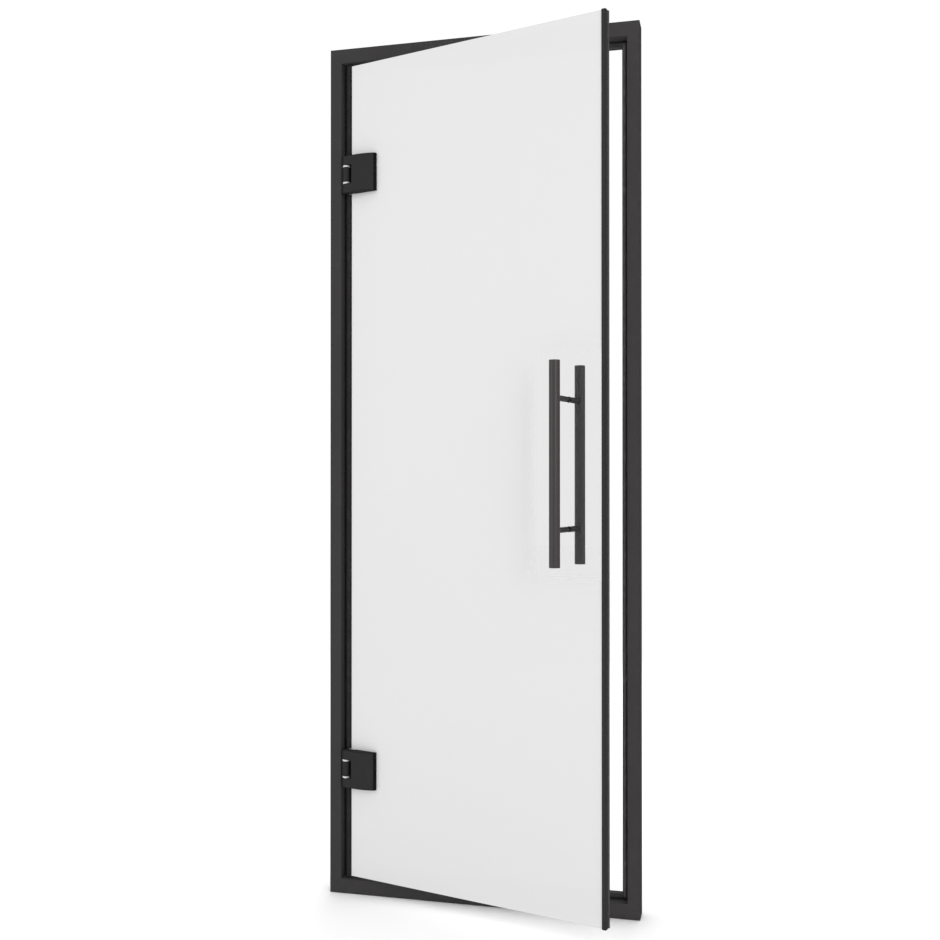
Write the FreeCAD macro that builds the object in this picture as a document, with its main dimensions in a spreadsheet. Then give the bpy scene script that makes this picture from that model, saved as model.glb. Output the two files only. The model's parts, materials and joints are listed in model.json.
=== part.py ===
import FreeCAD, Part
import math
import os
import Sketcher
from FreeCAD import Placement, Rotation, Vector

# Steam room door: a glass leaf hung on two glass hinges in a four-sided black frame.
# Origin: bottom of the hinge jamb's wall face, at half the frame's depth.
# +X runs to the latch side, +Y into the steam room and +Z up. The leaf stands ajar.

os.makedirs("parts", exist_ok=True)
doc = FreeCAD.newDocument("steam_room_door")
sheet = doc.addObject("Spreadsheet::Sheet", "Sizes")
nodes = []

SIZES = (
    # frame
    ("door_width", 690.0),
    ("door_height", 1890.0),
    ("frame_depth", 45.0),
    ("jamb_lip", 26.5),
    ("rail_lip", 32.5),
    ("jamb_stop", 12.5),
    ("rail_stop", 10.0),
    ("stop_setback", 26.0),
    ("frame_wall", 2.0),
    ("lip_round", 1.5),
    ("fixing_radius", 3.0),
    ("fixing_setback", 13.0),
    ("fixing_spacing", 780.0),
    # stop seal
    ("seal_offset", 7.0),
    ("seal_width", 7.0),
    ("seal_proud", 3.5),
    ("seal_side", 1.0),
    ("seal_foot", 3.8),
    ("seal_clearance", 0.1),
    # leaf
    ("rest_opening", 15.6),
    ("hinge_gap", 8.5),
    ("latch_gap", 5.0),
    ("rail_gap", 5.0),
    ("glass_setback", 7.0),
    ("glass_thickness", 8.0),
    ("glass_inset", 1.0),
    ("glass_arris", 0.6),
    ("hinge_web", 4.5),
    ("hinge_flange", 8.5),
    ("hinge_fin", 3.0),
    ("fin_thickness", 0.8),
    ("free_web", 3.0),
    ("free_flange", 8.7),
    ("profile_wall", 2.0),
    ("profile_round", 0.7),
    ("back_flange", 1.5),
    # hinges
    ("axis_gap", 13.5),
    ("axis_proud", 4.0),
    ("lower_inset", 280.5),
    ("upper_inset", 285.0),
    ("hinge_height", 83.0),
    ("barrel_radius", 7.5),
    ("pin_radius", 4.0),
    ("pin_clearance", 0.05),
    ("pin_recess", 1.0),
    ("knuckle_height", 33.4),
    ("washer_radius", 8.0),
    ("washer_height", 3.6),
    ("washer_clearance", 0.05),
    ("plate_start", 17.5),
    ("plate_end", 74.0),
    ("plate_tip", 7.0),
    ("tip_bevel", 4.0),
    ("edge_bevel", 1.2),
    ("crown_radius", 120.0),
    ("inner_start", 2.0),
    ("inner_plate", 5.0),
    ("inner_bevel", 1.2),
    ("gasket", 1.0),
    ("gasket_inset", 1.0),
    ("screw_line", 45.0),
    ("screw_spacing", 40.0),
    ("screw_bore", 3.2),
    ("countersink", 2.8),
    ("glass_bore", 6.0),
    ("bracket_height", 76.0),
    ("bracket_plate", 4.0),
    ("bracket_front", 1.5),
    ("bracket_back", 24.0),
    ("arm_thickness", 4.0),
    ("seal_end_gap", 0.5),
    # pull handle
    ("handle_height", 953.5),
    ("post_spacing", 261.0),
    ("bar_length", 404.0),
    ("bar_radius", 11.0),
    ("bar_wall", 1.5),
    ("bar_standoff", 57.4),
    ("handle_inset", 85.0),
    ("post_radius", 6.0),
    ("post_gasket", 1.5),
    ("stud_radius", 4.0),
    ("stud_engagement", 10.0),
    ("post_bore", 7.0),
    ("cap_height", 2.0),
    ("fit_clearance", 0.1),
)


class Size:
    """A number together with the spreadsheet expression that gives it."""

    def __init__(self, value, text):
        self.value = value
        self.text = text

    def __add__(self, other):
        other = as_size(other)
        return Size(self.value + other.value, f"({self.text} + {other.text})")

    def __sub__(self, other):
        other = as_size(other)
        return Size(self.value - other.value, f"({self.text} - {other.text})")

    def __mul__(self, other):
        other = as_size(other)
        return Size(self.value * other.value, f"({self.text} * {other.text})")

    def __truediv__(self, other):
        other = as_size(other)
        return Size(self.value / other.value, f"({self.text} / {other.text})")

    def __radd__(self, other):
        return as_size(other) + self

    def __rsub__(self, other):
        return as_size(other) - self

    def __neg__(self):
        return as_size(0.0) - self


def as_size(number):
    if isinstance(number, Size):
        return number
    return Size(float(number), repr(float(number)))


SIZE = {}
for row, (alias, number) in enumerate(SIZES, start=1):
    sheet.set(f"A{row}", alias)
    sheet.set(f"B{row}", str(number))
    sheet.setAlias(f"B{row}", alias)
    SIZE[alias] = Size(number, f"Sizes.{alias}")
doc.recompute()


# Drawing helpers


def new_body(label):
    body = doc.addObject("PartDesign::Body", label)
    body.Label = label
    body.AllowCompound = True
    nodes.append(body)
    return body


def origin_plane(body, role):
    for feature in body.Origin.OriginFeatures:
        if feature.Role == role:
            return feature
    raise RuntimeError(f"{body.Name} has no {role}")


def new_sketch(body, name, plane, offset=None):
    """A sketch on one of the body's planes, moved along the plane's normal."""
    sketch = body.newObject("Sketcher::SketchObject", name)
    sketch.AttachmentSupport = (origin_plane(body, plane), [""])
    sketch.MapMode = "FlatFace"
    if offset is not None:
        offset = as_size(offset)
        sketch.AttachmentOffset = Placement(Vector(0, 0, offset.value), Rotation())
        sketch.setExpression("AttachmentOffset.Base.z", offset.text)
    return sketch


def fix_point(sketch, geometry, position, x, y):
    """Tie a point of a sketch to the sketch's origin by two sizes."""
    across = sketch.addConstraint(
        Sketcher.Constraint("DistanceX", -1, 1, geometry, position, x.value)
    )
    up = sketch.addConstraint(
        Sketcher.Constraint("DistanceY", -1, 1, geometry, position, y.value)
    )
    sketch.setExpression(f"Constraints[{across}]", x.text)
    sketch.setExpression(f"Constraints[{up}]", y.text)


def arc_between(start, end, radius):
    """The arc that turns left from start to end."""
    chord = end - start
    half = chord.Length / 2.0
    rise = math.sqrt(radius * radius - half * half)
    side = Vector(-chord.y, chord.x, 0) * (rise / chord.Length)
    centre = start + chord * 0.5 + side
    circle = Part.Circle(centre, Vector(0, 0, 1), radius)
    first = math.atan2(start.y - centre.y, start.x - centre.x)
    last = math.atan2(end.y - centre.y, end.x - centre.x)
    if last < first:
        last += 2.0 * math.pi
    return Part.ArcOfCircle(circle, first, last)


def turns_left(points):
    area = 0.0
    for index, (x, y) in enumerate(points):
        after = points[(index + 1) % len(points)]
        area += x.value * after[1].value - after[0].value * y.value
    return area > 0.0


def outline(sketch, points, arcs=None):
    """Draw a closed outline; arcs gives the radius of each side that bulges outwards."""
    arcs = arcs or {}
    points = [(as_size(x), as_size(y)) for x, y in points]
    count = len(points)
    if not turns_left(points):
        points.reverse()
        arcs = {(count - 2 - index) % count: radius for index, radius in arcs.items()}
    first = sketch.GeometryCount
    for index in range(count):
        start = Vector(points[index][0].value, points[index][1].value, 0)
        after = points[(index + 1) % count]
        end = Vector(after[0].value, after[1].value, 0)
        if index in arcs:
            sketch.addGeometry(arc_between(start, end, arcs[index].value), False)
        else:
            sketch.addGeometry(Part.LineSegment(start, end), False)
    for index in range(count):
        after = first + (index + 1) % count
        sketch.addConstraint(Sketcher.Constraint("Coincident", first + index, 2, after, 1))
    for index in range(count):
        fix_point(sketch, first + index, 1, points[index][0], points[index][1])
    for index, radius in arcs.items():
        item = sketch.addConstraint(
            Sketcher.Constraint("Radius", first + index, radius.value)
        )
        sketch.setExpression(f"Constraints[{item}]", radius.text)


def rectangle(sketch, left, low, right, high):
    outline(sketch, ((left, low), (right, low), (right, high), (left, high)))


def ring(sketch, x, y, radius):
    """Draw a circle whose centre and radius follow the sizes."""
    x, y = as_size(x), as_size(y)
    centre = Vector(x.value, y.value, 0)
    item = sketch.addGeometry(Part.Circle(centre, Vector(0, 0, 1), radius.value), False)
    fix_point(sketch, item, 3, x, y)
    bound = sketch.addConstraint(Sketcher.Constraint("Radius", item, radius.value))
    sketch.setExpression(f"Constraints[{bound}]", radius.text)


# Feature helpers


def pad(body, sketch, length, midplane=False, reverse=False):
    length = as_size(length)
    feature = body.newObject("PartDesign::Pad", f"{sketch.Name}_pad")
    feature.Profile = sketch
    feature.Length = length.value
    feature.setExpression("Length", length.text)
    feature.Midplane = midplane
    feature.Reversed = reverse
    body.Tip = feature
    return feature


def cut_through(body, sketch):
    feature = body.newObject("PartDesign::Pocket", f"{sketch.Name}_cut")
    feature.Profile = sketch
    feature.Type = 1
    feature.Midplane = True
    body.Tip = feature
    return feature


def cut_blind(body, sketch, length):
    """Cut this far from the sketch towards +Y, for a sketch on an XZ plane."""
    doc.recompute()
    before = body.Shape.Volume
    feature = body.newObject("PartDesign::Pocket", f"{sketch.Name}_cut")
    feature.Profile = sketch
    feature.Length = length.value
    feature.setExpression("Length", length.text)
    body.Tip = feature
    doc.recompute()
    if body.Shape.Volume >= before:
        raise RuntimeError(f"{feature.Name} removed nothing")
    return feature


def dress(body, kind, chosen, size):
    """Round or bevel the edges of the body's last feature for which chosen(edge) holds."""
    doc.recompute()
    base = body.Tip
    names = [
        f"Edge{number}"
        for number, edge in enumerate(base.Shape.Edges, start=1)
        if chosen(edge)
    ]
    if not names:
        raise RuntimeError(f"{body.Name} has no edge for {kind}")
    feature = body.newObject(f"PartDesign::{kind}", f"{base.Name}_{kind}")
    feature.Base = (base, names)
    property_name = "Radius" if kind == "Fillet" else "Size"
    setattr(feature, property_name, size.value)
    feature.setExpression(property_name, size.text)
    body.Tip = feature
    return feature


def mirror_down(body, features):
    """Repeat features on the other side of the body's own XY plane."""
    feature = body.newObject("PartDesign::Mirrored", f"{features[-1].Name}_mirrored")
    feature.Originals = features
    feature.MirrorPlane = (origin_plane(body, "XY_Plane"), [""])
    body.Tip = feature
    return feature


def near(value, target):
    return abs(value - target) < 0.01


def runs_along(edge, direction):
    """Whether an edge is straight and parallel to a direction."""
    if edge.Curve.TypeId != "Part::GeomLine":
        return False
    return edge.Curve.Direction.cross(direction).Length < 0.001


def passes(edge, x=None, y=None, z=None):
    """Whether both ends of an edge lie at the coordinates that are given."""
    for vertex in edge.Vertexes:
        point = vertex.Point
        if x is not None and not near(point.x, x.value):
            return False
        if y is not None and not near(point.y, y.value):
            return False
        if z is not None and not near(point.z, z.value):
            return False
    return True


def stand(body, x, y, z, turn=None):
    """Place a body, turned clockwise seen from above by the size that is given."""
    x, y, z = as_size(x), as_size(y), as_size(z)
    angle = as_size(0.0) if turn is None else turn
    body.Placement = Placement(
        Vector(x.value, y.value, z.value), Rotation(Vector(0, 0, -1), angle.value)
    )
    body.setExpression("Placement.Base.x", x.text)
    body.setExpression("Placement.Base.y", y.text)
    body.setExpression("Placement.Base.z", z.text)
    if turn is not None:
        body.setExpression("Placement.Rotation.Angle", angle.text)


# Frame: four hollow profiles with a lip, a rebate and a stop, mitred at the corners

width = SIZE["door_width"]
height = SIZE["door_height"]
depth = SIZE["frame_depth"]
lip = SIZE["jamb_lip"]
rail = SIZE["rail_lip"]
wall = SIZE["frame_wall"]
setback = SIZE["stop_setback"]
stop_slope = SIZE["rail_stop"] / SIZE["jamb_stop"]
jamb_total = lip + SIZE["jamb_stop"]
rail_total = rail + SIZE["rail_stop"]
jamb_seal = lip + SIZE["seal_offset"]
rail_seal = rail + SIZE["seal_offset"] * stop_slope
front = depth / -2.0
axis_x = lip + SIZE["axis_gap"]
axis_y = front - SIZE["axis_proud"]
low_hinge = SIZE["lower_inset"]
high_hinge = height - SIZE["upper_inset"]
hinge_half = SIZE["hinge_height"] / 2.0


def deep(distance):
    """The Y of a place this far behind the frame's front face."""
    return front + distance


def frame_section(sketch, place, lip_edge, seal_line, total):
    """The profile's outline with its seal groove, and its two chambers."""
    half = SIZE["seal_foot"] / 2.0 + SIZE["seal_clearance"]
    floor = deep(setback + SIZE["seal_foot"] + SIZE["seal_clearance"])
    stop = deep(setback)
    back = deep(depth)
    outline(
        sketch,
        place(
            (
                (0.0, front),
                (lip_edge, front),
                (lip_edge, stop),
                (seal_line - half, stop),
                (seal_line - half, floor),
                (seal_line + half, floor),
                (seal_line + half, stop),
                (total, stop),
                (total, back),
                (0.0, back),
            )
        ),
    )
    outline(
        sketch,
        place(
            (
                (wall, front + wall),
                (lip_edge - wall, front + wall),
                (lip_edge - wall, back - wall),
                (wall, back - wall),
            )
        ),
    )
    outline(
        sketch,
        place(
            (
                (lip_edge, floor + wall),
                (total - wall, floor + wall),
                (total - wall, back - wall),
                (lip_edge, back - wall),
            )
        ),
    )


def seal_section(sketch, place, line):
    """A bulb on a foot that sits in the groove."""
    half = SIZE["seal_width"] / 2.0
    foot = SIZE["seal_foot"] / 2.0
    stop = deep(setback)
    shoulder = stop - SIZE["seal_side"]
    rise = SIZE["seal_proud"] - SIZE["seal_side"]
    bulb = (half * half + rise * rise) / (rise * 2.0)
    outline(
        sketch,
        place(
            (
                (line - half, shoulder),
                (line + half, shoulder),
                (line + half, stop),
                (line + foot, stop),
                (line + foot, stop + SIZE["seal_foot"]),
                (line - foot, stop + SIZE["seal_foot"]),
                (line - foot, stop),
                (line - half, stop),
            )
        ),
        {0: bulb},
    )


def hinge_side(points):
    return tuple(points)


def latch_side(points):
    return tuple((width - as_size(x), y) for x, y in points)


def floor_side(points):
    return tuple((y, x) for x, y in points)


def top_side(points):
    return tuple((y, height - as_size(x)) for x, y in points)


def upside_down(points):
    return tuple((x, height - as_size(y)) for x, y in points)


def cut_mitres(body, place, upright):
    """Cut both ends along mitres that turn a little where the lip meets the stop."""
    reach = jamb_total + 1.0
    rise = rail_total + stop_slope
    mitre = ((0.0, 0.0), (lip, rail), (reach, rise))
    sketch = new_sketch(body, f"{body.Name}_mitre", "XZ_Plane")
    if upright:
        lower = mitre + ((reach, 0.0),)
        outline(sketch, place(lower))
        outline(sketch, place(upside_down(lower)))
    else:
        near_end = mitre + ((0.0, rise),)
        outline(sketch, place(near_end))
        outline(sketch, place(latch_side(near_end)))
    cut_through(body, sketch)


def round_lip(body, along, spots):
    """Round the two front edges of a frame member's lip."""
    for spot in spots:
        dress(
            body,
            "Fillet",
            lambda edge: runs_along(edge, along) and passes(edge, y=front, **spot),
            SIZE["lip_round"],
        )


for label, place, edges in (
    ("hinge_jamb", hinge_side, (as_size(0.0), lip)),
    ("latch_jamb", latch_side, (width, width - lip)),
):
    body = new_body(label)
    section = new_sketch(body, f"{label}_section", "XY_Plane")
    frame_section(section, place, lip, jamb_seal, jamb_total)
    pad(body, section, height)
    round_lip(body, Vector(0, 0, 1), [{"x": edge} for edge in edges])
    cut_mitres(body, place, True)
    fixings = new_sketch(body, f"{label}_fixings", "YZ_Plane", edges[0])
    for step in (-1.0, 0.0, 1.0):
        level = height / 2.0 + SIZE["fixing_spacing"] * step
        ring(fixings, deep(SIZE["fixing_setback"]), level, SIZE["fixing_radius"])
    cut_through(body, fixings)
    body = new_body(f"{label}_seal")
    section = new_sketch(body, f"{label}_seal_section", "XY_Plane")
    seal_section(section, place, jamb_seal)
    pad(body, section, height)
    cut_mitres(body, place, True)

for label, place, flip, edges in (
    ("threshold", floor_side, hinge_side, (as_size(0.0), rail)),
    ("head_rail", top_side, upside_down, (height, height - rail)),
):
    body = new_body(label)
    section = new_sketch(body, f"{label}_section", "YZ_Plane")
    frame_section(section, place, rail, rail_seal, rail_total)
    pad(body, section, width)
    round_lip(body, Vector(1, 0, 0), [{"z": edge} for edge in edges])
    cut_mitres(body, flip, False)
    body = new_body(f"{label}_seal")
    section = new_sketch(body, f"{label}_seal_section", "YZ_Plane")
    seal_section(section, place, rail_seal)
    pad(body, section, width)
    cut_mitres(body, flip, False)


# Leaf: drawn about the hinge axis, with X along the glass and Y into the room

glass_front = SIZE["glass_setback"] + SIZE["axis_proud"]
glass_back = glass_front + SIZE["glass_thickness"]
leaf_bottom = rail + SIZE["rail_gap"]
leaf_top = height - leaf_bottom
hinge_edge = SIZE["hinge_gap"] - SIZE["axis_gap"]
free_edge = width - lip - SIZE["latch_gap"] - axis_x
glass_near = hinge_edge + SIZE["hinge_web"]
glass_far = free_edge - SIZE["free_web"]
glass_bottom = leaf_bottom + SIZE["glass_inset"]
glass_top = leaf_top - SIZE["glass_inset"]
handle_line = free_edge - SIZE["handle_inset"]
post_levels = (
    SIZE["handle_height"] - SIZE["post_spacing"] / 2.0,
    SIZE["handle_height"] + SIZE["post_spacing"] / 2.0,
)
profile_front = glass_front - SIZE["profile_wall"]


def on_leaf(body, level=0.0):
    """Stand a piece on the leaf, which is turned about the hinge axis to rest ajar."""
    stand(body, axis_x, axis_y, level, SIZE["rest_opening"])


body = new_body("glass_pane")
section = new_sketch(body, "pane_section", "XY_Plane", glass_bottom)
rectangle(section, glass_near, glass_front, glass_far, glass_back)
pad(body, section, glass_top - glass_bottom)
dress(
    body,
    "Chamfer",
    lambda edge: runs_along(edge, Vector(1, 0, 0)),
    SIZE["glass_arris"],
)
holes = new_sketch(body, "pane_holes", "XZ_Plane")
for level in post_levels:
    ring(holes, handle_line, level, SIZE["post_bore"])
for centre in (low_hinge, high_hinge):
    for side in (-0.5, 0.5):
        level = centre + SIZE["screw_spacing"] * side
        ring(holes, SIZE["screw_line"], level, SIZE["glass_bore"])
cut_through(body, holes)
on_leaf(body)

body = new_body("free_edge_profile")
section = new_sketch(body, "free_edge_section", "XY_Plane", leaf_bottom)
inner_end = free_edge - SIZE["free_flange"]
outline(
    section,
    (
        (inner_end, profile_front),
        (free_edge, profile_front),
        (free_edge, glass_back + SIZE["profile_wall"]),
        (inner_end, glass_back + SIZE["profile_wall"]),
        (inner_end, glass_back),
        (glass_far, glass_back),
        (glass_far, glass_front),
        (inner_end, glass_front),
    ),
)
pad(body, section, leaf_top - leaf_bottom)
dress(
    body,
    "Fillet",
    lambda edge: runs_along(edge, Vector(0, 0, 1)) and passes(edge, x=free_edge),
    SIZE["profile_round"],
)
on_leaf(body)

seal_space = hinge_half + SIZE["seal_end_gap"]
for label, bottom, top in (
    ("lower_hinge_edge_seal", leaf_bottom, low_hinge - seal_space),
    ("middle_hinge_edge_seal", low_hinge + seal_space, high_hinge - seal_space),
    ("upper_hinge_edge_seal", high_hinge + seal_space, leaf_top),
):
    body = new_body(label)
    section = new_sketch(body, f"{label}_section", "XY_Plane", bottom)
    flange_end = hinge_edge + SIZE["hinge_flange"]
    fin_end = flange_end + SIZE["hinge_fin"]
    outline(
        section,
        (
            (hinge_edge, profile_front),
            (flange_end, profile_front),
            (flange_end, glass_front - SIZE["fin_thickness"]),
            (fin_end, glass_front - SIZE["fin_thickness"]),
            (fin_end, glass_front),
            (glass_near, glass_front),
            (glass_near, glass_back),
            (flange_end, glass_back),
            (flange_end, glass_back + SIZE["back_flange"]),
            (hinge_edge, glass_back + SIZE["back_flange"]),
        ),
    )
    pad(body, section, top - bottom)
    dress(
        body,
        "Fillet",
        lambda edge: runs_along(edge, Vector(0, 0, 1)) and passes(edge, x=hinge_edge),
        SIZE["profile_round"],
    )
    on_leaf(body)


# Hinges: a bracket on the lip's inner side, and on the leaf a clamp with two ears

barrel = SIZE["barrel_radius"]
bore = SIZE["pin_radius"] + SIZE["pin_clearance"]
knuckle_half = SIZE["knuckle_height"] / 2.0
washer_low = knuckle_half + SIZE["washer_clearance"]
ear_low = washer_low + SIZE["washer_height"]
clamp_back = glass_front - SIZE["gasket"]
inner_face = glass_back + SIZE["gasket"]
inner_back = inner_face + SIZE["inner_plate"]
plate_start = SIZE["plate_start"]
plate_end = SIZE["plate_end"]


for side, centre in (("upper", high_hinge), ("lower", low_hinge)):
    # the fixed bracket: a screwed plate, an arm and a knuckle
    body = new_body(f"{side}_hinge_bracket")
    base_near = -SIZE["axis_gap"]
    base_far = base_near + SIZE["bracket_plate"]
    base_front = SIZE["bracket_front"] + SIZE["axis_proud"]
    base_back = SIZE["bracket_back"] + SIZE["axis_proud"]
    section = new_sketch(body, f"{side}_base_section", "XY_Plane")
    rectangle(section, base_near, base_front, base_far, base_back)
    pad(body, section, SIZE["bracket_height"], midplane=True)
    section = new_sketch(body, f"{side}_arm_section", "XY_Plane")
    outline(
        section,
        (
            (base_near, base_front),
            (base_far, base_front),
            (barrel * -0.8, barrel * -0.6),
            (0.0, 0.0),
            (barrel * -0.5, barrel * 0.86),
            (base_far, base_front + SIZE["arm_thickness"]),
            (base_near, base_front + SIZE["arm_thickness"]),
        ),
    )
    pad(body, section, SIZE["knuckle_height"], midplane=True)
    section = new_sketch(body, f"{side}_knuckle_section", "XY_Plane")
    ring(section, 0.0, 0.0, barrel)
    pad(body, section, SIZE["knuckle_height"], midplane=True)
    section = new_sketch(body, f"{side}_knuckle_bore", "XY_Plane")
    ring(section, 0.0, 0.0, bore)
    cut_through(body, section)
    stand(body, axis_x, axis_y, centre)

    # the outer clamp: a crowned plate that thins towards its tip, and two ears
    body = new_body(f"{side}_outer_clamp")
    section = new_sketch(body, f"{side}_clamp_section", "XY_Plane")
    outline(
        section,
        (
            (plate_start, -barrel),
            (plate_end, clamp_back - SIZE["plate_tip"]),
            (plate_end, clamp_back),
            (plate_start, clamp_back),
        ),
        {0: SIZE["crown_radius"]},
    )
    pad(body, section, SIZE["hinge_height"], midplane=True)
    dress(
        body,
        "Chamfer",
        lambda edge: runs_along(edge, Vector(0, 0, 1))
        and passes(edge, x=plate_end, y=clamp_back - SIZE["plate_tip"]),
        SIZE["tip_bevel"],
    )
    dress(
        body,
        "Chamfer",
        lambda edge: edge.Curve.TypeId == "Part::GeomCircle",
        SIZE["edge_bevel"],
    )
    section = new_sketch(body, f"{side}_web_section", "XY_Plane", ear_low)
    rectangle(section, 0.0, -barrel, plate_start, barrel)
    web = pad(body, section, hinge_half - ear_low)
    section = new_sketch(body, f"{side}_ear_section", "XY_Plane", ear_low)
    ring(section, 0.0, 0.0, barrel)
    ear = pad(body, section, hinge_half - ear_low)
    mirror_down(body, [web, ear])
    section = new_sketch(body, f"{side}_ear_bore", "XY_Plane")
    ring(section, 0.0, 0.0, bore)
    cut_through(body, section)
    on_leaf(body, centre)

    # the inner clamp: a flat plate with countersunk holes for the clamp's screws
    body = new_body(f"{side}_inner_clamp")
    section = new_sketch(body, f"{side}_inner_section", "XY_Plane")
    rectangle(section, SIZE["inner_start"], inner_face, plate_end, inner_back)
    pad(body, section, SIZE["hinge_height"], midplane=True)
    dress(
        body,
        "Chamfer",
        lambda edge: passes(edge, y=inner_back),
        SIZE["inner_bevel"],
    )
    section = new_sketch(body, f"{side}_inner_holes", "XZ_Plane")
    for step in (-0.5, 0.5):
        level = SIZE["screw_spacing"] * step
        ring(section, SIZE["screw_line"], level, SIZE["screw_bore"])
    cut_through(body, section)
    dress(
        body,
        "Chamfer",
        lambda edge: edge.Curve.TypeId == "Part::GeomCircle"
        and near(edge.Curve.Radius, SIZE["screw_bore"].value)
        and passes(edge, y=inner_back),
        SIZE["countersink"],
    )
    on_leaf(body, centre)

    for label, low, start in (
        (f"{side}_outer_gasket", clamp_back, 0.0),
        (f"{side}_inner_gasket", glass_back, SIZE["inner_start"]),
    ):
        body = new_body(label)
        inset = SIZE["gasket_inset"]
        section = new_sketch(body, f"{label}_section", "XY_Plane")
        rectangle(section, inset + start, low, plate_end - inset, low + SIZE["gasket"])
        pad(body, section, SIZE["hinge_height"] - inset * 2.0, midplane=True)
        on_leaf(body, centre)

pins = new_body("hinge_pins")
washers = new_body("hinge_washers")
pin_half = hinge_half - SIZE["pin_recess"]
for side, centre in (("upper", high_hinge), ("lower", low_hinge)):
    section = new_sketch(pins, f"{side}_pin_section", "XY_Plane", centre - pin_half)
    ring(section, 0.0, 0.0, SIZE["pin_radius"])
    pad(pins, section, pin_half * 2.0)
    for place, low in (
        ("top", centre + washer_low),
        ("bottom", centre - washer_low - SIZE["washer_height"]),
    ):
        name = f"{side}_{place}_washer_section"
        section = new_sketch(washers, name, "XY_Plane", low)
        ring(section, 0.0, 0.0, SIZE["washer_radius"])
        ring(section, 0.0, 0.0, bore)
        pad(washers, section, SIZE["washer_height"])
on_leaf(pins)
on_leaf(washers)


# Pull handle: a round bar on each side, on posts bolted through the glass

bar_inner = SIZE["bar_radius"] - SIZE["bar_wall"]
bar_bottom = SIZE["handle_height"] - SIZE["bar_length"] / 2.0
bar_top = bar_bottom + SIZE["bar_length"]
stud_bore = SIZE["stud_radius"] + SIZE["fit_clearance"]
outer_face = glass_front - SIZE["post_gasket"]
inner_post_face = glass_back + SIZE["post_gasket"]


def at_posts(sketch, radius):
    for level in post_levels:
        ring(sketch, handle_line, level, radius)


for side, line, gasket_face in (
    ("outer", glass_front - SIZE["bar_standoff"], outer_face),
    ("inner", glass_back + SIZE["bar_standoff"], glass_back),
):
    body = new_body(f"{side}_pull_bar")
    section = new_sketch(body, f"{side}_bar_section", "XY_Plane", bar_bottom)
    ring(section, handle_line, line, SIZE["bar_radius"])
    ring(section, handle_line, line, bar_inner)
    pad(body, section, SIZE["bar_length"])
    on_leaf(body)

    body = new_body(f"{side}_bar_caps")
    for place, low in (("top", bar_top), ("bottom", bar_bottom - SIZE["cap_height"])):
        section = new_sketch(body, f"{side}_{place}_cap_section", "XY_Plane", low)
        ring(section, handle_line, line, SIZE["bar_radius"])
        pad(body, section, SIZE["cap_height"])
    on_leaf(body)

    body = new_body(f"{side}_posts")
    start, end = (line, outer_face) if side == "outer" else (inner_post_face, line)
    section = new_sketch(body, f"{side}_post_section", "XZ_Plane", -start)
    at_posts(section, SIZE["post_radius"])
    pad(body, section, end - start, reverse=True)
    section = new_sketch(body, f"{side}_post_saddle", "XY_Plane", bar_bottom)
    ring(section, handle_line, line, SIZE["bar_radius"])
    cut_through(body, section)
    if side == "outer":
        section = new_sketch(body, "stud_section", "XZ_Plane", -outer_face)
        at_posts(section, SIZE["stud_radius"])
        reach = inner_post_face + SIZE["stud_engagement"] - SIZE["fit_clearance"]
        pad(body, section, reach - outer_face, reverse=True)
    else:
        section = new_sketch(body, "stud_bore_section", "XZ_Plane", -inner_post_face)
        at_posts(section, stud_bore)
        cut_blind(body, section, SIZE["stud_engagement"])
    on_leaf(body)

    body = new_body(f"{side}_post_gaskets")
    section = new_sketch(body, f"{side}_post_gasket_section", "XZ_Plane", -gasket_face)
    at_posts(section, SIZE["post_radius"])
    at_posts(section, stud_bore)
    pad(body, section, SIZE["post_gasket"], reverse=True)
    on_leaf(body)


# Every piece must be sound before any file is written

doc.recompute()
for item in doc.Objects:
    for word in ("Invalid", "Error"):
        if word in item.State:
            raise RuntimeError(f"{item.Name} is {word}")
for node in nodes:
    if node.Shape.isNull() or not node.Shape.isValid():
        raise RuntimeError(f"{node.Label} has no sound shape")
for node in nodes:
    node.Shape.exportStep(f"parts/{node.Label}.step")
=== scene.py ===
import json
import math

import bmesh
import bpy
from mathutils import Matrix, Vector


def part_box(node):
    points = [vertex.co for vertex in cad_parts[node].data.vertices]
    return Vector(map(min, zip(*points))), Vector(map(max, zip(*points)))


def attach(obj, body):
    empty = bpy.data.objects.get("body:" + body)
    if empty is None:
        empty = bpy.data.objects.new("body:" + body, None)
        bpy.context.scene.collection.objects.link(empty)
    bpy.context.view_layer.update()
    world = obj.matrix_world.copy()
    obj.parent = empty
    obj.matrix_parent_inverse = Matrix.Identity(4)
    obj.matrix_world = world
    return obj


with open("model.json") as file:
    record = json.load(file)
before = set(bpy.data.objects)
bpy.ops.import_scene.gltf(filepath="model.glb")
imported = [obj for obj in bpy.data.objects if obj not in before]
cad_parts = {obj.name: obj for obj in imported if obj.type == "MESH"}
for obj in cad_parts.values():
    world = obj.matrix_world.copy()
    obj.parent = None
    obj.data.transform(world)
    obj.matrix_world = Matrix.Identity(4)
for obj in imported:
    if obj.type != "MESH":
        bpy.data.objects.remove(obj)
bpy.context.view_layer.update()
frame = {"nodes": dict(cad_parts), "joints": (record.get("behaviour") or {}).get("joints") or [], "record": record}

# Steam room door: camera, light and finishes, with the screws and the smoky edge lip.
# Metres throughout, in the frame's axes: X across the door from the hinge jamb, Y into
# the steam room, Z up. Leaf coordinates start at the hinge axis: X along the glass
# towards the free edge, Y into the room when the door is shut, Z up.

MM = 0.001
scene = bpy.context.scene
nodes = frame["nodes"]
hinge = frame["joints"][0]
AXIS = Vector(hinge["pos_m"])
REST = math.radians(-hinge["range_deg"][0])
LEAF = Matrix.Translation(AXIS) @ Matrix.Rotation(-REST, 4, "Z")
TO_LEAF = LEAF.inverted()


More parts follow.
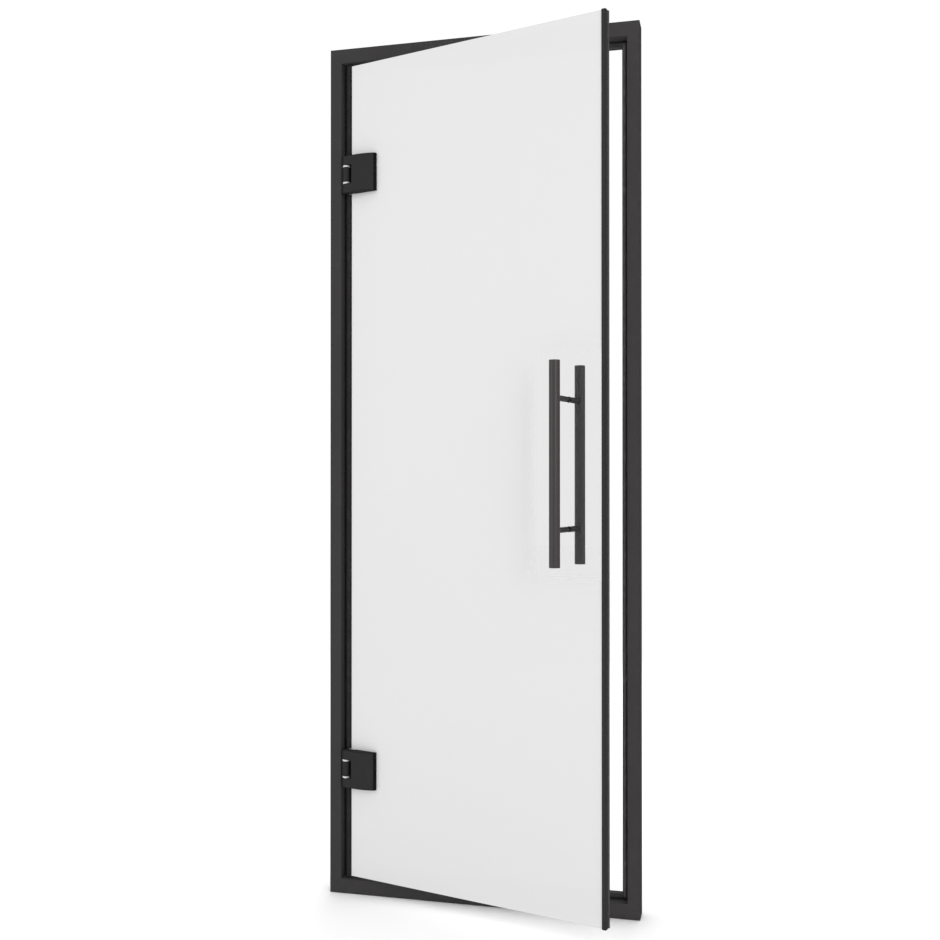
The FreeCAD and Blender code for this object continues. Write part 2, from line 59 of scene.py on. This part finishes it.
def leaf_box(*names):
    """The lowest and highest corners of some leaf nodes, in leaf coordinates."""
    points = [TO_LEAF @ v.co for name in names for v in nodes[name].data.vertices]
    low = Vector([min(p[i] for p in points) for i in range(3)])
    high = Vector([max(p[i] for p in points) for i in range(3)])
    return low, high


# The CAD's sizes that no box gives

JAMB_LIP = 26.5 * MM
RAIL_LIP = 32.5 * MM
BRACKET_PLATE = 4.0 * MM
CLAMP_BEVEL = 3.4 * MM

# Places read from the frame

FRAME_LOW, FRAME_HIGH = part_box("hinge_jamb")
LATCH_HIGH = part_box("latch_jamb")[1]
GLASS_LOW, GLASS_HIGH = leaf_box("glass_pane")
BAR_LOW, BAR_HIGH = leaf_box("outer_pull_bar")
EDGE_LOW, EDGE_HIGH = leaf_box("free_edge_profile")
# Where the painted shade on the clamps' ends begins
CLAMP_TIP = leaf_box("upper_outer_clamp")[1].x - CLAMP_BEVEL

# The photograph's view, and the white room round the door

LENS_MM = 42.456
SENSOR_MM = 36.0
SHIFT_UP = 0.00943
CAMERA_PLACE = (0.90266, -2.36428, 0.91252)
CAMERA_PITCH = 90.306
CAMERA_TURN = 13.898
CLIP_NEAR = 0.05
CLIP_FAR = 200.0
ROOM_STRENGTH = 1.02
LIGHT_AIM = (0.35, 0.0, 0.95)
SOFTBOXES = (
    ("key_softbox", (2.6, -2.8, 2.0), (1.4, 2.2), 24.0),
    ("fill_softbox", (-2.2, -2.6, 1.6), (1.0, 2.4), 14.0),
    ("back_softbox", (0.2, 3.0, 1.7), (2.4, 2.2), 26.0),
)
FLOOR_HALF = 14.0
FLOOR_DROP = 0.5 * MM

# The glass: the clearer zone's half width, its reach past the bars and its soft edge,
# how opaque the etching is, and the light that the pane and the room behind it give

CLEAR_HALF = 0.062
CLEAR_OVER = 0.012
CLEAR_FADE = 0.03
SATIN_ALPHA = 0.99
CLEAR_ALPHA = 0.216
INNER_ALPHA = 0.02
PANE_TONE = 0.811
PANE_LIGHT = 1.235
ROOM_LIGHT = 1.01
RIM_GREEN = (0.42, 0.52, 0.48, 1.0)

# Painted edge lines of the coats: their width, and their tone as a share of the coat's;
# below one the line is painted shade, above one a painted highlight. Round the mitres
# there is none, and the frame's flanks get this share of one, as painted shade.

FRAME_EDGE_SHADE = (2.6 * MM, 0.35)
HINGE_EDGE_SHADE = (3.0 * MM, 0.3)
SCREW_EDGE_HIGHLIGHT = (0.3 * MM, 1.4)
MITRE_GAP = 4.0 * MM
MITRE_FADE = 2.0 * MM
FLANK_SHADE_SHARE = 0.8

# Screws: their facets and the length of the tool that cuts the hexagon, how far heads
# stand in or out, where the screws sit, and each kind's sizes

SCREW_SIDES = 40
DRIVE_CUTTER = 0.02
CLAMP_HEAD_SINK = 0.2 * MM
ROUND_HEAD_RISE = 1.6 * MM
PLATE_SCREW_SETBACK = 9.0 * MM
PLATE_SCREW_HALF = 27.0 * MM
CLAMP_SCREW_LINE = 45.0 * MM
CLAMP_SCREW_HALF = 20.0 * MM
FIXING_SETBACK = 13.0 * MM
FIXING_SPACING = 0.78
CLAMP_SCREW = {
    "Head radius": 5.6 * MM,
    "Head height": 2.6 * MM,
    "Flank radius": 3.1 * MM,
}
BRACKET_SCREW = {
    "Head radius": 4.2 * MM,
    "Head height": 1.8 * MM,
    "Flank radius": 4.4 * MM,
    "Drive radius": 1.7 * MM,
    "Drive depth": 1.2 * MM,
}
JAMB_SCREW = {
    "Head radius": 5.0 * MM,
    "Head height": 1.8 * MM,
    "Flank radius": 5.2 * MM,
    "Drive radius": 2.0 * MM,
    "Drive depth": 1.2 * MM,
}

# The smoky lip: its foot inside the profile's back corner, how far it reaches out and
# rises towards the room, and half its thickness at the foot and at the tip

LIP_INSET_X = 0.6 * MM
LIP_INSET_Y = 1.4 * MM
LIP_REACH = 3.2 * MM
LIP_RISE = 2.6 * MM
LIP_HALF_FOOT = 0.45 * MM
LIP_HALF_TIP = 0.25 * MM
LIP_END_GAP = 1.0 * MM
LIP_ROWS = 9


# Camera and light


def make_camera():
    """The photograph's view: from the right of the door, level with its middle."""
    data = bpy.data.cameras.new("photo_camera")
    data.lens = LENS_MM
    data.sensor_width = SENSOR_MM
    data.shift_y = SHIFT_UP
    data.clip_start = CLIP_NEAR
    data.clip_end = CLIP_FAR
    camera = bpy.data.objects.new("photo_camera", data)
    camera.location = CAMERA_PLACE
    camera.rotation_euler = (math.radians(CAMERA_PITCH), 0.0, math.radians(CAMERA_TURN))
    scene.collection.objects.link(camera)
    scene.camera = camera


def add_softbox(name, place, size, power):
    """A rectangular area light that faces the middle of the door."""
    data = bpy.data.lights.new(name, "AREA")
    data.shape = "RECTANGLE"
    data.size = size[0]
    data.size_y = size[1]
    data.energy = power
    lamp = bpy.data.objects.new(name, data)
    lamp.location = place
    aim = Vector(LIGHT_AIM) - Vector(place)
    lamp.rotation_euler = aim.to_track_quat("-Z", "Y").to_euler()
    scene.collection.objects.link(lamp)


def make_studio():
    """A white room and three softboxes."""
    scene.view_settings.view_transform = "Standard"
    world = bpy.data.worlds.new("white_room")
    scene.world = world
    world.use_nodes = True
    back = world.node_tree.nodes["Background"]
    back.inputs["Color"].default_value = (1.0, 1.0, 1.0, 1.0)
    back.inputs["Strength"].default_value = ROOM_STRENGTH
    for softbox in SOFTBOXES:
        add_softbox(*softbox)


# Shader maths


class Link:
    """One output of a finish's nodes. Arithmetic on it adds the Math nodes."""

    def __init__(self, finish, socket):
        self.finish = finish
        self.socket = socket

    def maths(self, operation, first, second):
        values = {0: first, 1: second}
        return self.finish.node("ShaderNodeMath", {"operation": operation}, values)

    def __add__(self, other):
        return self.maths("ADD", self, other)

    def __radd__(self, other):
        return self.maths("ADD", other, self)

    def __sub__(self, other):
        return self.maths("SUBTRACT", self, other)

    def __rsub__(self, other):
        return self.maths("SUBTRACT", other, self)

    def __mul__(self, other):
        return self.maths("MULTIPLY", self, other)

    def __rmul__(self, other):
        return self.maths("MULTIPLY", other, self)

    def __truediv__(self, other):
        return self.maths("DIVIDE", self, other)

    def __rtruediv__(self, other):
        return self.maths("DIVIDE", other, self)

    def __abs__(self):
        return self.maths("ABSOLUTE", self, 0.0)


class Finish:
    """A material and the few ways in which its nodes are added."""

    def __init__(self, name):
        self.material = bpy.data.materials.new(name)
        self.material.use_nodes = True
        self.tree = self.material.node_tree
        self.tree.nodes.clear()
        self.place = self.node("ShaderNodeTexCoord", out="Object")

    def node(self, kind, settings=None, values=None, out=0):
        """Add a node: its settings first, then its sockets' values or links."""
        node = self.tree.nodes.new(kind)
        for name, setting in (settings or {}).items():
            setattr(node, name, setting)
        for name, value in (values or {}).items():
            if isinstance(value, Link):
                self.tree.links.new(value.socket, node.inputs[name])
            else:
                node.inputs[name].default_value = value
        return Link(self, node.outputs[out])

    def leaf_place(self):
        """The point in leaf coordinates."""
        turn = TO_LEAF.to_euler()
        values = {
            "Vector": self.place,
            "Location": TO_LEAF.to_translation(),
            "Rotation": (turn.x, turn.y, turn.z),
        }
        return self.node("ShaderNodeMapping", None, values)

    def axis(self, place, letter):
        """One coordinate of a place."""
        return self.node("ShaderNodeSeparateXYZ", None, {"Vector": place}, letter)

    def off_mitres(self):
        """0 along the frame's mitre joints and 1 away from them."""
        middle = (LATCH_HIGH + FRAME_LOW) / 2.0
        half = (LATCH_HIGH - FRAME_LOW) / 2.0
        aside = half.x - abs(self.axis(self.place, "X") - middle.x)
        above = half.z - abs(self.axis(self.place, "Z") - middle.z)
        length = math.hypot(RAIL_LIP, JAMB_LIP)
        apart = abs(aside * (RAIL_LIP / length) - above * (JAMB_LIP / length))
        return self.step(apart, MITRE_GAP, MITRE_GAP + MITRE_FADE)

    def flanks(self):
        """1 on the frame's two outer flanks, which face the wall, and 0 elsewhere."""
        half = (LATCH_HIGH.x - FRAME_LOW.x) / 2.0
        aside = abs(self.axis(self.place, "X") - (LATCH_HIGH.x + FRAME_LOW.x) / 2.0)
        return self.step(aside, half - 0.4 * MM, half - 0.1 * MM)

    def larger(self, first, second):
        """The larger of two values."""
        settings = {"operation": "MAXIMUM"}
        return self.node("ShaderNodeMath", settings, {0: first, 1: second})

    def noise(self, size, detail=2.0, roughness=0.5, place=None):
        """Noise whose grains are about this size in metres, from 0 to 1."""
        values = {
            "Vector": place or self.place,
            "Scale": 1.0 / size,
            "Detail": detail,
            "Roughness": roughness,
        }
        return self.node("ShaderNodeTexNoise", None, values)

    def step(self, value, low, high):
        """A smooth step: 0 below low and 1 above high."""
        values = {"Value": value, "From Min": low, "From Max": high}
        settings = {"interpolation_type": "SMOOTHSTEP"}
        return self.node("ShaderNodeMapRange", settings, values)

    def blend(self, mask, first, second):
        """The first colour where the mask is 0 and the second where it is 1."""
        values = {"Factor": mask, 6: first, 7: second}
        return self.node("ShaderNodeMix", {"data_type": "RGBA"}, values, out=2)

    def bump(self, height, depth, normal=None):
        """Relief of this depth in metres."""
        values = {"Height": height, "Distance": depth, "Strength": 1.0}
        if normal is not None:
            values["Normal"] = normal
        return self.node("ShaderNodeBump", None, values)

    def soft_edges(self, radius):
        """The normal of the surface as if its edges were rounded by this radius."""
        return self.node("ShaderNodeBevel", {"samples": 4}, {"Radius": radius})

    def edge_mask(self, rounded):
        """1 on the rounded part of an edge and 0 on the faces."""
        values = {0: rounded, 1: self.node("ShaderNodeNewGeometry", out="Normal")}
        settings = {"operation": "DOT_PRODUCT"}
        same = self.node("ShaderNodeVectorMath", settings, values, "Value")
        return self.step(1.0 - same, 0.01, 0.12)

    def surface(self, **values):
        """Finish with the Principled shader; _ stands for a space in a socket name."""
        sockets = {name.replace("_", " "): value for name, value in values.items()}
        shader = self.node("ShaderNodeBsdfPrincipled", None, sockets)
        end = self.tree.nodes.new("ShaderNodeOutputMaterial")
        self.tree.links.new(shader.socket, end.inputs["Surface"])
        return self.material


def grey(level, warm=0.0, rose=0.0):
    """A linear grey; warm raises red and lowers blue by a share, rose lowers green."""
    return (level * (1.0 + warm), level * (1.0 - rose), level * (1.0 - warm), 1.0)


# Finishes


def powder_coat(name, level, roughness, grain, edge, worn=0.07, tip=None, mitres=False):
    """Matt black powder coat: fine orange peel, slow tone drift, painted light that grows towards the latch side,
    and thin edge lines of painted shade.

    edge gives the width of the painted edge line and its tone as a share of the coat's:
    below one the line is painted shade, above one a painted highlight. worn is the grey of
    a rubbed edge, and tip the distance along the leaf from which a clamp is painted as
    dark as its edges, as painted shade on its end. With mitres, the edges that meet at the
    frame's corners get no line, and the frame's outer flanks get painted shade."""
    finish = Finish(name)
    drift = finish.noise(0.16, 3.0)
    peel = finish.noise(grain, 3.0, 0.55)
    speck = finish.noise(0.0006, 1.0)
    scuff = finish.step(finish.noise(0.035, 5.0, 0.7), 0.56, 0.74)
    rounded = finish.soft_edges(0.7 * MM)
    # Painted shade: a darker line along every edge, where the rounded normal turns away from the face. The same
    # mask also places the worn edges.
    shaded_and_worn_edges = finish.edge_mask(finish.soft_edges(edge[0]))
    if mitres:
        shaded_and_worn_edges *= finish.off_mitres()
        # The frame's outer flanks are painted darker, as painted shade.
        shaded_and_worn_edges = finish.larger(shaded_and_worn_edges, finish.flanks() * FLANK_SHADE_SHARE)
    rubbed = shaded_and_worn_edges * finish.step(finish.noise(0.012, 5.0, 0.7), 0.62, 0.72)
    # Random tone drift plus painted light: the coat grows lighter along X, towards the latch jamb, which the open
    # leaf shades.
    drift_and_painted_light = drift * 0.5 + finish.axis(finish.place, "X") * 0.75
    dark = grey(level * 0.93, 0.01, 0.025)
    light = grey(level * 1.30, 0.02, 0.045)
    body = finish.blend(drift_and_painted_light, dark, light)
    dusty = finish.blend(scuff * 0.2, body, grey(level * 1.7, 0.03))
    # Painted shade on the clamps' ends: past this place along the leaf they are as dark as their edge lines.
    if tip is not None:
        along = finish.axis(finish.leaf_place(), "X")
        shaded_and_worn_edges = finish.larger(shaded_and_worn_edges, finish.step(along, tip, tip + 0.4 * MM))
    # The painted shade of the edge lines, flanks and clamp ends goes into the colour here.
    with_painted_shade = finish.blend(shaded_and_worn_edges, dusty, grey(level * edge[1]))
    rough = roughness + (peel - 0.5) * 0.12 + (speck - 0.5) * 0.1 + scuff * 0.07
    relief = peel * 0.8 + speck * 0.2
    return finish.surface(
        Base_Color=finish.blend(rubbed * 0.5, with_painted_shade, grey(worn)),
        Roughness=rough - rubbed * 0.1,
        Specular_IOR_Level=0.02,
        Normal=finish.bump(relief, 0.02 * MM, rounded),
    )


def brushed_black(name, tone=1.0):
    """Dark anodised tube, brushed along its length, with warm brown lights."""
    finish = Finish(name)
    values = {"Vector": finish.place, "Scale": (1.0, 1.0, 0.012)}
    drawn_out = finish.node("ShaderNodeMapping", None, values)
    lines = finish.noise(0.0005, 2.0, 0.6, drawn_out)
    drift = finish.noise(0.05, 3.0)
    rounded = finish.soft_edges(0.5 * MM)
    rubbed = finish.edge_mask(rounded)
    dark = grey(tone * 0.029, 0.05, 0.04)
    light = grey(tone * 0.0355, 0.05, 0.04)
    body = finish.blend(drift, dark, light)
    drawn = finish.blend(lines * 0.35, body, grey(tone * 0.062, 0.05, 0.02))
    colour = finish.blend(rubbed * 0.4, drawn, grey(0.09, 0.03))
    return finish.surface(
        Base_Color=colour,
        Metallic=0.55,
        Roughness=0.34 + (lines - 0.5) * 0.16 + (drift - 0.5) * 0.06,
        Normal=finish.bump(lines, 0.006 * MM, rounded),
    )


def soft_rubber(name, level):
    """Matt black rubber with a dusty bloom and a faint moulded grain."""
    finish = Finish(name)
    grain = finish.noise(0.0012, 4.0, 0.6)
    bloom = finish.step(finish.noise(0.03, 5.0, 0.65), 0.45, 0.75)
    rounded = finish.soft_edges(0.4 * MM)
    colour = finish.blend(bloom * 0.35, grey(level, 0.02), grey(level * 2.6))
    return finish.surface(
        Base_Color=colour,
        Roughness=0.72 + (grain - 0.5) * 0.2 + bloom * 0.08,
        Specular_IOR_Level=0.03,
        Normal=finish.bump(grain, 0.03 * MM, rounded),
    )


def washer_plastic(name):
    """Pale grey bearing plastic with turned rings and a little black wear dust."""
    finish = Finish(name)
    rings = finish.noise(0.0004, 2.0)
    dust = finish.step(finish.noise(0.004, 4.0), 0.55, 0.8)
    colour = finish.blend(dust * 0.3, grey(0.58), grey(0.3))
    return finish.surface(
        Base_Color=colour,
        Roughness=0.45 + (rings - 0.5) * 0.2,
        Normal=finish.bump(rings, 0.01 * MM, finish.soft_edges(0.3 * MM)),
    )


def turned_steel(name):
    """Machined steel with fine turning marks."""
    finish = Finish(name)
    marks = finish.noise(0.0003, 3.0)
    haze = finish.noise(0.006, 3.0)
    colour = finish.blend(haze, grey(0.336, 0.02), grey(0.462))
    return finish.surface(
        Base_Color=colour,
        Metallic=1.0,
        Roughness=0.3 + (marks - 0.5) * 0.2 + haze * 0.06,
        Normal=finish.bump(marks, 0.005 * MM, finish.soft_edges(0.2 * MM)),
    )


def satin_glass(name):
    """Pale satin glass, etched on its outer face and clearer round the pull bars.

    Where the etching lets the white room through, its colour is painted darker, as painted
    shade that cancels the room's light, so that the pane keeps one tone: level solves
    alpha * PANE_LIGHT * level + (1 - alpha) * ROOM_LIGHT = PANE_TONE. The inner face is
    left almost clear."""
    finish = Finish(name)
    leaf = finish.leaf_place()
    up = finish.axis(leaf, "Z")
    middle = (BAR_LOW + BAR_HIGH) / 2.0
    reach = (BAR_HIGH.z - BAR_LOW.z) / 2.0 + CLEAR_OVER
    aside = abs(finish.axis(leaf, "X") - middle.x)
    clear = 1.0 - finish.step(aside, CLEAR_HALF, CLEAR_HALF + CLEAR_FADE)
    clear *= 1.0 - finish.step(abs(up - middle.z), reach, reach + CLEAR_FADE)
    etched = SATIN_ALPHA - clear * (SATIN_ALPHA - CLEAR_ALPHA)
    # The glass's grey, painted darker where more of the room's light comes through: painted shade.
    level = ROOM_LIGHT / PANE_LIGHT - (ROOM_LIGHT - PANE_TONE) / PANE_LIGHT / etched
    body = finish.blend(level, grey(0.0), grey(1.0, 0.002, 0.006))
    cloud = finish.noise(0.35, 3.0, 0.5, leaf)
    clouded = finish.blend(cloud * 0.015 * (1.0 - clear), body, grey(0.6))
    half = (GLASS_HIGH.z - GLASS_LOW.z) / 2.0
    from_middle = abs(up - (GLASS_LOW.z + GLASS_HIGH.z) / 2.0)
    rim = finish.step(from_middle, half - 1.2 * MM, half - 0.4 * MM)
    depth = finish.axis(leaf, "Y")
    inner = finish.step(depth, GLASS_HIGH.y - 0.4 * MM, GLASS_HIGH.y - 0.1 * MM)
    etch = finish.noise(0.0005, 2.0)
    return finish.surface(
        Base_Color=finish.blend(rim * 0.6, clouded, RIM_GREEN),
        Roughness=0.42 + (etch - 0.5) * 0.1 - clear * 0.2,
        Alpha=etched - inner * (etched - INNER_ALPHA),
        Specular_IOR_Level=0.2,
        Normal=finish.bump(etch, 0.004 * MM),
    )


def smoky_lip_plastic(name):
    """Smoky, slightly cloudy plastic of the free edge's lip."""
    finish = Finish(name)
    cloud = finish.noise(0.01, 3.0)
    return finish.surface(
        Base_Color=finish.blend(cloud, grey(0.045), grey(0.065)),
        Roughness=0.35 + cloud * 0.1,
        Alpha=0.8 + cloud * 0.12,
        Specular_IOR_Level=0.1,
    )


def pale_floor(name):
    """Near-white floor with a faint grain."""
    finish = Finish(name)
    grain = finish.noise(0.02, 4.0)
    return finish.surface(
        Base_Color=finish.blend(grain, grey(0.975), grey(0.99)),
        Roughness=0.75 + (grain - 0.5) * 0.1,
        Normal=finish.bump(grain, 0.2 * MM),
    )


FINISHES = {
    "black_frame_profile": powder_coat(
        "frame_coat", 0.040, 0.75, 0.0011, FRAME_EDGE_SHADE, mitres=True),
    "black_edge_profile": powder_coat(
        "edge_profile_coat", 0.026, 0.7, 0.0009, FRAME_EDGE_SHADE),
    "black_hinge_metal": powder_coat(
        "hinge_coat", 0.026, 0.7, 0.0008, HINGE_EDGE_SHADE, tip=CLAMP_TIP),
    "black_handle_metal": brushed_black("brushed_black_tube"),
    # The stop seals' rubber is painted lighter than the other seals, as painted light in their deep rebates.
    "stop_seal_rubber": soft_rubber("stop_seal_rubber", 0.040),
    "edge_seal_rubber": soft_rubber("edge_seal_rubber", 0.020),
    "gasket_rubber": soft_rubber("gasket_rubber", 0.012),
    "pale_grey_glass": satin_glass("pale_satin_glass"),
    "pale_bearing_washer": washer_plastic("washer_plastic"),
    "steel_pin": turned_steel("pin_steel"),
}
NODE_FINISHES = {
    # The posts are a darker copy of the tubes' finish: painted shade between the bars and the glass.
    "outer_posts": brushed_black("shaded_post_metal", 0.5),
    # The latch jamb's seal is a still lighter copy of the rubber: painted light against the deep shade of its
    # rebate.
    "latch_jamb_seal": soft_rubber("painted_light_stop_seal", 0.085),
}
NODE_FINISHES["inner_posts"] = NODE_FINISHES["outer_posts"]


def paint_nodes():
    """Give every node of the frame the finish of its material slot."""
    for part in frame["record"]["subparts"]:
        finish = NODE_FINISHES.get(part["node"], FINISHES[part["material_slot"]])
        for place in nodes[part["node"]].material_slots:
            place.material = finish


# Screws


def screw_tree():
    """Geometry nodes that put a socket screw on every point, pointing along -Z."""
    tree = bpy.data.node_groups.new("socket_screws", "GeometryNodeTree")
    face = tree.interface
    face.new_socket("Points", in_out="INPUT", socket_type="NodeSocketGeometry")
    for name, size in (
        ("Head radius", 5.5 * MM),
        ("Head height", 3.0 * MM),
        ("Flank radius", 3.0 * MM),
        ("Drive radius", 2.3 * MM),
        ("Drive depth", 1.8 * MM),
        ("Rim", 0.4 * MM),
    ):
        socket = face.new_socket(name, in_out="INPUT", socket_type="NodeSocketFloat")
        socket.default_value = size
    face.new_socket("Turn", in_out="INPUT", socket_type="NodeSocketRotation")
    face.new_socket("Finish", in_out="INPUT", socket_type="NodeSocketMaterial")
    face.new_socket("Screws", in_out="OUTPUT", socket_type="NodeSocketGeometry")
    source = tree.nodes.new("NodeGroupInput").outputs

    def add(kind, links, **settings):
        node = tree.nodes.new(kind)
        for name, value in settings.items():
            setattr(node, name, value)
        for name, value in links.items():
            if isinstance(value, bpy.types.NodeSocket):
                tree.links.new(value, node.inputs[name])
            else:
                node.inputs[name].default_value = value
        return node.outputs

    def shifted(mesh, height):
        rise = add("ShaderNodeCombineXYZ", {"Z": height})[0]
        return add("GeometryNodeTransform", {"Geometry": mesh, "Translation": rise})[0]

    def minus(first, second):
        values = {0: first, 1: second}
        return add("ShaderNodeMath", values, operation="SUBTRACT")[0]

    flank_height = minus(source["Head height"], source["Rim"])
    flank = add(
        "GeometryNodeMeshCone",
        {
            "Vertices": SCREW_SIDES,
            "Radius Top": source["Head radius"],
            "Radius Bottom": source["Flank radius"],
            "Depth": flank_height,
        },
        fill_type="NGON",
    )["Mesh"]
    rim = add(
        "GeometryNodeMeshCone",
        {
            "Vertices": SCREW_SIDES,
            "Radius Top": minus(source["Head radius"], source["Rim"]),
            "Radius Bottom": source["Head radius"],
            "Depth": source["Rim"],
        },
        fill_type="NGON",
    )["Mesh"]
    drive = add(
        "GeometryNodeMeshCylinder",
        {"Vertices": 6, "Radius": source["Drive radius"], "Depth": DRIVE_CUTTER},
        fill_type="NGON",
    )["Mesh"]
    flank = shifted(flank, minus(0.0, source["Head height"]))
    rim = shifted(rim, minus(0.0, source["Rim"]))
    drive = shifted(drive, minus(DRIVE_CUTTER / 2.0, source["Drive depth"]))
    head = add("GeometryNodeMeshBoolean", {"Mesh 2": flank}, operation="UNION")
    tree.links.new(rim, head[0].node.inputs["Mesh 2"])
    cut = add("GeometryNodeMeshBoolean", {"Mesh 1": head[0], "Mesh 2": drive})[0]
    spread = add(
        "GeometryNodeInstanceOnPoints",
        {"Points": source["Points"], "Instance": cut, "Rotation": source["Turn"]},
    )[0]
    real = add("GeometryNodeRealizeInstances", {"Geometry": spread})[0]
    coated = {"Geometry": real, "Material": source["Finish"]}
    done = add("GeometryNodeSetMaterial", coated)[0]
    tree.links.new(done, tree.nodes.new("NodeGroupOutput").inputs[0])
    return tree


def evaluated(obj, name):
    """A plain mesh object with the result of obj's modifiers, in place of obj."""
    bpy.context.view_layer.update()
    graph = bpy.context.evaluated_depsgraph_get()
    mesh = bpy.data.meshes.new_from_object(obj.evaluated_get(graph))
    mesh.name = name
    bpy.data.objects.remove(obj)
    piece = bpy.data.objects.new(name, mesh)
    scene.collection.objects.link(piece)
    return piece


def make_screws(tree, name, points, turn, body, finish, sizes):
    """One mesh with a screw at each point, its head facing where turn sends +Z."""
    mesh = bpy.data.meshes.new(name)
    mesh.from_pydata(points, [], [])
    seed = bpy.data.objects.new(name, mesh)
    scene.collection.objects.link(seed)
    live = seed.modifiers.new("screws", "NODES")
    live.node_group = tree
    wanted = {"Finish": finish, "Turn": turn, **sizes}
    for item in tree.interface.items_tree:
        if item.in_out == "INPUT" and item.name in wanted:
            live[item.identifier] = wanted[item.name]
    piece = evaluated(seed, name)
    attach(piece, body)


def hinge_levels():
    """The height of the middle of each hinge."""
    for side in ("lower", "upper"):
        low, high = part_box(f"{side}_outer_clamp")
        yield (low.z + high.z) / 2.0


def add_screws():
    """The screws of the inner clamps, the hinge brackets and both jambs."""
    tree = screw_tree()
    # The screws' edges are painted lighter than their coat: a painted highlight.
    black = powder_coat("screw_black", 0.04, 0.38, 0.0006, SCREW_EDGE_HIGHLIGHT, 0.12)
    clamp_face = leaf_box("lower_inner_clamp")[1].y - CLAMP_HEAD_SINK
    points = [
        LEAF @ Vector((CLAMP_SCREW_LINE, clamp_face, level + side * CLAMP_SCREW_HALF))
        for level in hinge_levels()
        for side in (-1, 1)
    ]
    facing_in = (LEAF.to_3x3() @ Matrix.Rotation(math.radians(-90), 3, "X")).to_euler()
    make_screws(tree, "clamp_screws", points, facing_in, "leaf",
                black, CLAMP_SCREW)

    plate_face = JAMB_LIP + BRACKET_PLATE + ROUND_HEAD_RISE
    plate_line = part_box("lower_hinge_bracket")[1].y - PLATE_SCREW_SETBACK
    points = [
        Vector((plate_face, plate_line, level + side * PLATE_SCREW_HALF))
        for level in hinge_levels()
        for side in (-1, 1)
    ]
    facing_latch = Matrix.Rotation(math.radians(90), 3, "Y").to_euler()
    make_screws(tree, "bracket_screws", points, facing_latch, "frame",
                black, BRACKET_SCREW)

    middle = (FRAME_LOW.z + FRAME_HIGH.z) / 2.0
    depth = FRAME_LOW.y + FIXING_SETBACK
    facing_hinge = Matrix.Rotation(math.radians(-90), 3, "Y").to_euler()
    for name, x, turn in (
        ("hinge_jamb_screws", JAMB_LIP + ROUND_HEAD_RISE, facing_latch),
        ("latch_jamb_screws", LATCH_HIGH.x - JAMB_LIP - ROUND_HEAD_RISE, facing_hinge),
    ):
        points = [
            Vector((x, depth, middle + step * FIXING_SPACING)) for step in (-1, 0, 1)
        ]
        make_screws(tree, name, points, turn, "frame", black,
                    JAMB_SCREW)


# The smoky lip on the free edge


def mesh_piece(name, vertices, faces, finish, body):
    """A closed mesh, its faces turned outwards, that rides on a body."""
    mesh = bpy.data.meshes.new(name)
    mesh.from_pydata(vertices, [], faces)
    form = bmesh.new()
    form.from_mesh(mesh)
    bmesh.ops.recalc_face_normals(form, faces=form.faces)
    form.to_mesh(mesh)
    form.free()
    mesh.materials.append(finish)
    piece = bpy.data.objects.new(name, mesh)
    scene.collection.objects.link(piece)
    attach(piece, body)


def lip_profile():
    """The lip's outline in the leaf's plan: out on one side and back on the other."""
    foot = Vector((EDGE_HIGH.x - LIP_INSET_X, EDGE_HIGH.y - LIP_INSET_Y))
    profile = []
    for side in (1.0, -1.0):
        steps = range(LIP_ROWS) if side > 0 else reversed(range(LIP_ROWS))
        for step in steps:
            share = step / (LIP_ROWS - 1)
            half = LIP_HALF_FOOT - (LIP_HALF_FOOT - LIP_HALF_TIP) * share
            along = Vector((LIP_REACH * share, LIP_RISE * share * share))
            slope = Vector((LIP_REACH, 2.0 * LIP_RISE * share)).normalized()
            across = Vector((-slope.y, slope.x)) * half * side
            profile.append(foot + along + across)
    return profile


def add_edge_lip():
    """A thin curved fin along the back corner of the free edge's profile."""
    profile = lip_profile()
    levels = (EDGE_LOW.z + LIP_END_GAP, EDGE_HIGH.z - LIP_END_GAP)
    vertices = [LEAF @ Vector((p.x, p.y, z)) for z in levels for p in profile]
    count = len(profile)
    faces = [tuple(range(count)), tuple(range(count, 2 * count))]
    for index in range(count):
        after = (index + 1) % count
        faces.append((index, after, count + after, count + index))
    finish = smoky_lip_plastic("smoky_lip_plastic")
    mesh_piece("smoky_edge_lip", vertices, faces, finish, "leaf")


# Floor


def add_floor():
    """A wide pale floor, just under the threshold."""
    mesh = bpy.data.meshes.new("floor")
    corners = [
        (x * FLOOR_HALF, y * FLOOR_HALF, 0.0)
        for x, y in ((-1, -1), (1, -1), (1, 1), (-1, 1))
    ]
    mesh.from_pydata(corners, [], [(0, 1, 2, 3)])
    mesh.materials.append(pale_floor("pale_floor"))
    floor = bpy.data.objects.new("floor", mesh)
    floor.location = (0.0, 0.0, -FLOOR_DROP)
    scene.collection.objects.link(floor)


make_camera()
make_studio()
paint_nodes()
add_screws()
add_edge_lip()
add_floor()
